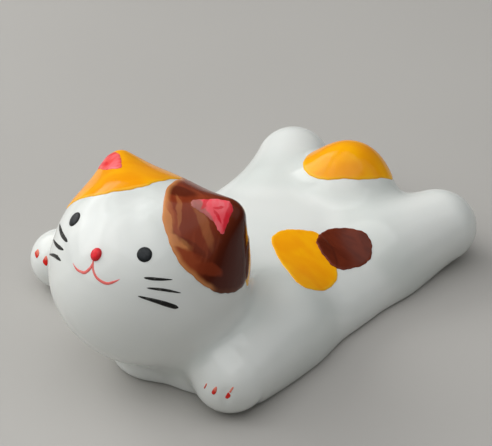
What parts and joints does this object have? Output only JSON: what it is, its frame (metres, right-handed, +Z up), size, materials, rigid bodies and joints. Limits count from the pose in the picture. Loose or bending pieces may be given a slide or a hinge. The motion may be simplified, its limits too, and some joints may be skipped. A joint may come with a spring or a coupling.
{
  "type": "chopstick rest",
  "caption": "Glazed porcelain chopstick rest shaped as a calico cat lying on its belly; the sticks lie across its low back, between the head and the round tail.",
  "frame": {"origin": "On the table, under the middle of the body, on the flat foot that the figure rests on.", "axes": "+X towards the head, +Y the cat's left, +Z up."},
  "size_m": [0.0637, 0.0443, 0.0263],
  "materials": {
    "glazed_porcelain": "glossy white glaze, foot left bare",
    "yellow_enamel": "fired overglaze enamel, glossy",
    "brown_enamel": "fired overglaze enamel, glossy",
    "pink_enamel": "fired overglaze enamel, glossy",
    "red_enamel": "fired overglaze enamel, glossy",
    "black_enamel": "fired overglaze enamel, glossy"
  },
  "bodies": {
    "root": {"torso": "glazed_porcelain", "head": "glazed_porcelain", "left_ear": "glazed_porcelain", "right_ear": "glazed_porcelain", "left_foreleg": "glazed_porcelain", "right_foreleg": "glazed_porcelain", "left_hind_leg": "glazed_porcelain", "right_hind_leg": "glazed_porcelain", "tail": "glazed_porcelain", "right_ear_patch": "yellow_enamel", "nape_patch": "yellow_enamel", "yellow_back_patch": "yellow_enamel", "tail_patch": "yellow_enamel", "left_ear_patch": "brown_enamel", "brown_back_patch": "brown_enamel", "left_ear_lining": "pink_enamel", "right_ear_lining": "pink_enamel", "nose": "red_enamel", "mouth": "red_enamel", "left_paw_marks": "red_enamel", "right_paw_marks": "red_enamel", "left_eye": "black_enamel", "right_eye": "black_enamel", "left_whiskers": "black_enamel", "right_whiskers": "black_enamel"}
  },
  "joints": []
}
